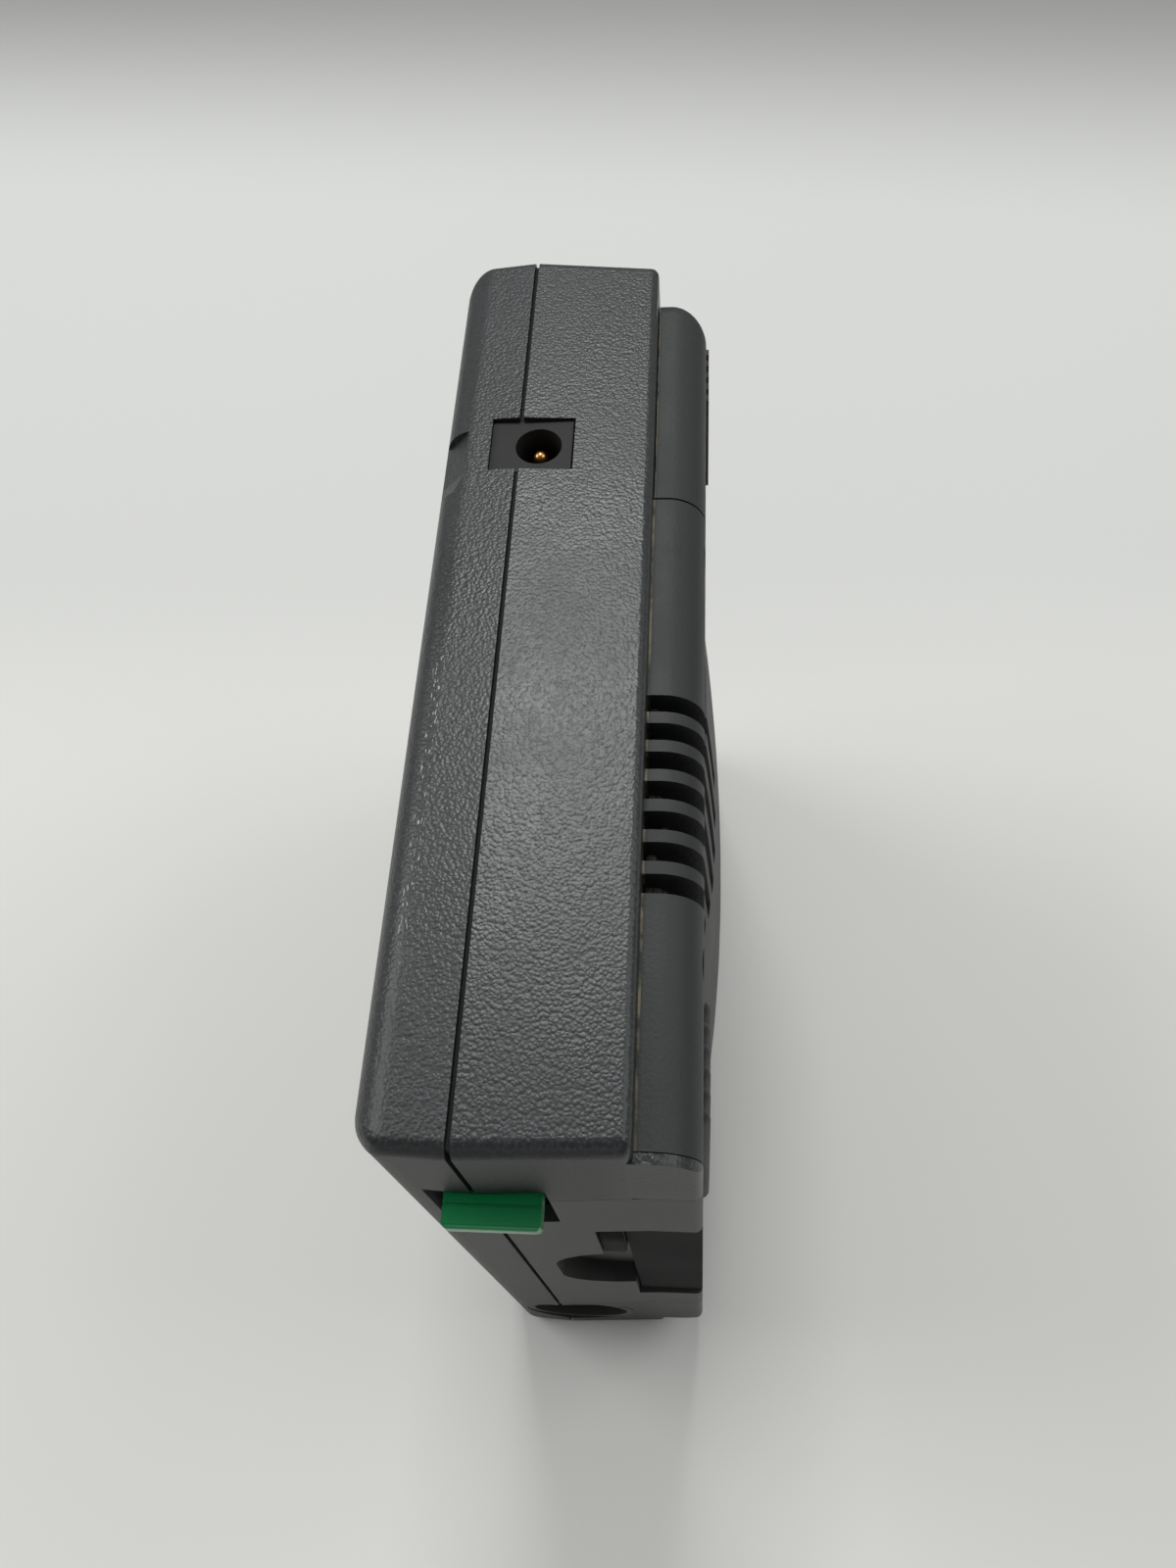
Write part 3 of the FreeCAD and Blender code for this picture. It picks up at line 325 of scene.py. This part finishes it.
FINISH = {
    "front_shell": "pebble_grained_abs", "rear_shell": "pebble_grained_abs",
    "end_panel": "fine_grained_abs", "strap_cup": "fine_grained_abs",
    "back_cover": "satin_abs", "battery_door": "satin_abs", "case_seal": "nitrile_cord",
    "strap_bar": "nickel_plate", "slide_switch": "filled_nylon", "slide_carrier": "filled_nylon",
    "power_tab": "gloss_green_abs", "memory_card": "card_cap_abs", "card_socket": "filled_nylon",
    "data_port_shell": "nickel_plate", "data_port_insert": "filled_nylon",
    "data_port_pins": "gold_flash", "dc_jack_body": "satin_pbt", "dc_jack_pin": "turned_brass",
    "display_window": "clear_acrylic", "lcd_gasket": "closed_cell_foam", "lcd_panel": "lcd_cell",
    "lcd_backlight": "polycarbonate_guide", "keypad_mat": "moulded_silicone",
    "main_board": "green_solder_mask", "board_chips": "moulded_epoxy",
    "backup_cell_holder": "filled_nylon", "backup_cell": "nickel_plate", "speaker": "filled_nylon",
    "battery_tray": "filled_nylon", "battery_contacts": "nickel_plate",
    "case_screws": "nickel_plate", "cover_screws": "nickel_plate",
}
for name, thing in NODES.items():
    if name.startswith("key_r"):
        finish = "keycap_abs"
    elif name.startswith("battery_cell"):
        finish = "shrink_sleeve"
    else:
        finish = FINISH[name]
    thing.data.materials.clear()
    thing.data.materials.append(MATERIALS[finish])


# ---------------------------------------------------------------- added pieces

def mesh_piece(name, form, material, body="case"):
    """Turn a bmesh into a piece that rides on a body."""
    mesh = bpy.data.meshes.new(name)
    form.to_mesh(mesh)
    form.free()
    piece = bpy.data.objects.new(name, mesh)
    bpy.context.scene.collection.objects.link(piece)
    mesh.materials.append(MATERIALS[material])
    for face in mesh.polygons:
        face.use_smooth = True
    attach(piece, body)
    return piece


# louvre slots of the back cover, counted along Y
SLOT_MIDDLE = -21.2 * MM
SLOT_PITCH = 4.0 * MM
SLOTS = 7
SLOT_DEPTH = 4.6 * MM
LUMPS = 3


def grille_lint():
    """Lumps of lint caught between the louvre fins, against the shell."""
    random.seed(7)
    form = bmesh.new()
    for side in (-1, 1):
        edge = COVER_HIGH.z - SLOT_DEPTH if side > 0 else COVER_LOW.z + SLOT_DEPTH
        for index in range(SLOTS):
            y = SLOT_MIDDLE + (index - (SLOTS - 1) / 2) * SLOT_PITCH
            for lump in range(LUMPS):
                x = COVER_LOW.x + (0.7 + 0.75 * lump) * MM
                z = edge + side * random.uniform(-0.8, 0.9) * MM - side * lump * 0.5 * MM
                place = Vector((x, y, z))
                size = Vector((random.uniform(0.5, 0.8), 1.15, random.uniform(0.5, 1.1))) * MM
                made = bmesh.ops.create_icosphere(form, subdivisions=3, radius=1.0)
                for vert in made["verts"]:
                    ripple = math.sin(9 * vert.co.x + 4 * index) * math.cos(8 * vert.co.z + lump)
                    rough = 1 + 0.16 * ripple
                    vert.co = Vector(a * b * rough for a, b in zip(vert.co, size)) + place
    return mesh_piece("grille_lint", form, "grille_lint")


grille_lint()


STEP_WIDTH = 3.5 * MM
STEP_FOOT = 80.2 * MM


def shade_sheet():
    """Thin near-black sheet in the shallow step beside the card's end cap: painted shade standing
    for the shadow in that step.
    """
    panel_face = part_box("end_panel")[0].y
    card_low, card_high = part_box("memory_card")
    low = Vector((card_low.x - STEP_WIDTH, panel_face + 0.9 * MM, STEP_FOOT))
    high = Vector((card_low.x - 0.35 * MM, panel_face + 1.45 * MM, card_high.z + 0.2 * MM))
    form = bmesh.new()
    middle = (low + high) / 2
    bmesh.ops.create_cube(form, size=1.0, matrix=Matrix.Translation(middle)
                          @ Matrix.Diagonal((*(high - low), 1)))
    bmesh.ops.bevel(form, geom=form.edges[:], offset=0.15 * MM, segments=2, affect="EDGES")
    mesh_piece("shade_sheet", form, "card_cap_abs")


shade_sheet()

RIDGES = 6
RIDGE_PITCH = 3.0 * MM
RIDGE_FIRST = 14.0 * MM
RIDGE_RISE = 1.3 * MM
RIDGE_REACH = 1.15 * MM
RIDGE_LENGTH = 52 * MM
RIDGE_SINK = 0.7 * MM
RIDGE_SIDES = 16
# how full a ridge is at each fraction of its half length
RIDGE_SWELL = [(-1.0, 0.05), (-0.985, 0.5), (-0.95, 0.85), (-0.9, 1.0),
               (0.9, 1.0), (0.95, 0.85), (0.985, 0.5), (1.0, 0.05)]


def grip_ridges():
    """Rounded finger ridges across the back cover near its near end, as one moulding."""
    form = bmesh.new()
    x = DOOR_BACK - RIDGE_SINK
    middle = (COVER_LOW.z + COVER_HIGH.z) / 2
    for ridge in range(RIDGES):
        y = COVER_LOW.y + RIDGE_FIRST + ridge * RIDGE_PITCH
        rings = []
        for step, size in RIDGE_SWELL:
            z = middle + step * RIDGE_LENGTH / 2
            turns = [2 * math.pi * turn / RIDGE_SIDES for turn in range(RIDGE_SIDES)]
            rings.append([form.verts.new((x + RIDGE_RISE * size * math.cos(angle),
                                          y + RIDGE_REACH * size * math.sin(angle), z))
                          for angle in turns])
        for ring, above in zip(rings, rings[1:]):
            for turn in range(RIDGE_SIDES):
                after = (turn + 1) % RIDGE_SIDES
                form.faces.new((ring[turn], ring[after], above[after], above[turn]))
        form.faces.new(rings[0][::-1])
        form.faces.new(rings[-1])
    bmesh.ops.recalc_face_normals(form, faces=form.faces[:])
    mesh_piece("grip_ridges", form, "satin_abs")


grip_ridges()

FRONT_FACE = WINDOW_LOW.x - 0.2 * MM
KEY_ROWS = 4
KEY_COLUMNS = 6
# distance from a key's far edge to its print, and the sizes of the print
PRINT_GAP = 1.4 * MM
NUMERAL_SIZE = 4.2 * MM
BAR_SIZE = (0.04 * MM, 0.7 * MM, 6 * MM)
# numeral by line below the display and column
NUMERALS = {(0, 3): "1", (0, 4): "2", (0, 5): "3", (1, 3): "4", (1, 4): "5", (1, 5): "6",
            (2, 3): "7", (2, 4): "8", (2, 5): "9", (3, 4): "0"}


def key_legends():
    """Plain numerals and bars printed on the case beside the keys."""
    for row in range(KEY_ROWS):
        for column in range(KEY_COLUMNS):
            low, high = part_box(f"key_r{row + 1}c{column + 1}")
            z = (low.z + high.z) / 2
            y = high.y + PRINT_GAP
            numeral = NUMERALS.get((KEY_ROWS - 1 - row, column))
            if numeral:
                text = bpy.data.curves.new(f"legend_{numeral}", "FONT")
                text.body = numeral
                text.size = NUMERAL_SIZE
                text.extrude = 0.02 * MM
                text.align_x = "CENTER"
                piece = bpy.data.objects.new(f"legend_{numeral}", text)
                bpy.context.scene.collection.objects.link(piece)
                text.materials.append(MATERIALS["pad_print_ink"])
                piece.matrix_world = Matrix(((0, 0, -1, FRONT_FACE), (0, 1, 0, y), (1, 0, 0, z),
                                             (0, 0, 0, 1)))
                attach(piece, "case")
            else:
                form = bmesh.new()
                place = Matrix.Translation((FRONT_FACE, y + 1.2 * MM, z))
                shape = Matrix.Diagonal((*BAR_SIZE, 1))
                bmesh.ops.create_cube(form, size=1.0, matrix=place @ shape)
                mesh_piece(f"legend_bar_r{row + 1}c{column + 1}", form, "pad_print_ink")


key_legends()


# ---------------------------------------------------------------- floor, light and camera

FLOOR_COLOUR = "#d5d6d3"
FLOOR_NEAR_LIT = "#e1e1dd"
FLOOR_FAR_SHADE = "#8f8f8e"


def floor():
    """Pale matt floor, with painted light making it a little paler at the near end and painted
    shade darkening a band at its far side.
    """
    form = bmesh.new()
    bmesh.ops.create_grid(form, x_segments=8, y_segments=8, size=2.0)
    mesh = bpy.data.meshes.new("floor")
    form.to_mesh(mesh)
    form.free()
    thing = bpy.data.objects.new("floor", mesh)
    bpy.context.scene.collection.objects.link(thing)
    # a hair under the object, so that no two faces lie in one plane
    thing.location.z = -0.02 * MM
    tree = new_material("matt_paper")
    where = add(tree, "ShaderNodeTexCoord").outputs["Object"]
    parts = add(tree, "ShaderNodeSeparateXYZ", None, {0: where})
    slant = add(tree, "ShaderNodeMath", {"operation": "MULTIPLY_ADD"},
                {0: parts.outputs[0], 1: 0.12, 2: parts.outputs[1]})
    # painted shade: a darker band across the far side of the floor
    far = add(tree, "ShaderNodeMapRange", {"interpolation_type": "SMOOTHSTEP"},
              {"Value": slant.outputs[0], "From Min": 0.26, "From Max": 0.42})
    # painted light: the floor is paler towards the near end
    near = add(tree, "ShaderNodeMapRange", {"interpolation_type": "SMOOTHSTEP"},
               {"Value": parts.outputs[1], "From Min": 0.13, "From Max": 0.05})
    pale = add(tree, "ShaderNodeMix", {"data_type": "RGBA"},
               {0: near.outputs[0], 6: linear(FLOOR_COLOUR), 7: linear(FLOOR_NEAR_LIT)})
    tint = add(tree, "ShaderNodeMix", {"data_type": "RGBA"},
               {0: far.outputs[0], 6: pale.outputs[2], 7: linear(FLOOR_FAR_SHADE)})
    fibre = add(tree, "ShaderNodeTexNoise", None, {"Vector": where, "Scale": 900.0})
    bump = add(tree, "ShaderNodeBump", None,
               {"Strength": 0.2, "Distance": 0.02 * MM, "Height": fibre.outputs["Fac"]})
    finish_surface(tree, {"Base Color": tint.outputs[2], "Roughness": 0.9,
                          "Normal": bump.outputs["Normal"]})
    mesh.materials.append(MATERIALS["matt_paper"])


floor()


def softbox(name, place, aim, width, height, power):
    """White rectangular lamp, in metres and watts, that faces the aim point."""
    light = bpy.data.lights.new(name, "AREA")
    light.shape = "RECTANGLE"
    light.size = width
    light.size_y = height
    light.energy = power
    lamp = bpy.data.objects.new(name, light)
    bpy.context.scene.collection.objects.link(lamp)
    lamp.location = place
    lamp.rotation_euler = (Vector(aim) - Vector(place)).to_track_quat("-Z", "Y").to_euler()


softbox("key_softbox", (-0.03, 0.56, 1.06), (0, 0, 0.1), 0.32, 0.28, 5.2)
softbox("left_softbox", (-1.05, 0.25, 1.05), (0, 0, 0.0), 0.8, 0.8, 7.0)
softbox("right_softbox", (0.95, 0.25, 1.05), (0, 0, 0.0), 0.8, 0.8, 4.2)
softbox("near_fill", (-0.10, -1.05, 0.60), (0, 0, 0.05), 0.7, 0.5, 1.0)

world = bpy.data.worlds.new("studio")
bpy.context.scene.world = world
world.use_nodes = True
world.node_tree.nodes.clear()
path = add(world.node_tree, "ShaderNodeLightPath")
seen = add(world.node_tree, "ShaderNodeMath", {"operation": "MAXIMUM"},
           {0: path.outputs["Is Camera Ray"], 1: path.outputs["Is Transmission Ray"]})
# the room is darker behind the near end than over the far end
heading = add(world.node_tree, "ShaderNodeSeparateXYZ", None,
              {0: add(world.node_tree, "ShaderNodeTexCoord").outputs["Generated"]})
room = add(world.node_tree, "ShaderNodeMapRange", {"interpolation_type": "SMOOTHSTEP"},
           {"Value": heading.outputs[1], "From Min": -0.7, "From Max": 0.6,
            "To Min": 0.09, "To Max": 0.47})
ambient = add(world.node_tree, "ShaderNodeBackground", None,
              {"Color": linear("#fbfdfd"), "Strength": room.outputs[0]})
backdrop = add(world.node_tree, "ShaderNodeBackground", None,
               {"Color": linear("#cfd1ce"), "Strength": 1.0})
both = add(world.node_tree, "ShaderNodeMixShader", None,
           {0: seen.outputs[0], 1: ambient.outputs[0], 2: backdrop.outputs[0]})
add(world.node_tree, "ShaderNodeOutputWorld", None, {"Surface": both.outputs[0]})


def camera():
    """Camera above the near end, looking down at the top edge, turned a little about its axis."""
    lens = bpy.data.cameras.new("camera")
    lens.lens = 28.5
    lens.sensor_width = 36.0
    lens.clip_start = 0.01
    thing = bpy.data.objects.new("camera", lens)
    bpy.context.scene.collection.objects.link(thing)
    place = Vector((16.65, -92.4, 260.52)) * MM
    aim = Vector((-1.67, 3.53, 90.0)) * MM
    roll = math.radians(-9.19)
    forward = (aim - place).normalized()
    level = forward.cross(Vector((0, 0, 1))).normalized()
    rise = level.cross(forward)
    right = level * math.cos(roll) + rise * math.sin(roll)
    up = right.cross(forward)
    turned = Matrix((right, up, -forward)).transposed().to_4x4()
    thing.matrix_world = Matrix.Translation(place) @ turned
    bpy.context.scene.camera = thing


camera()
bpy.context.scene.view_settings.view_transform = "Standard"
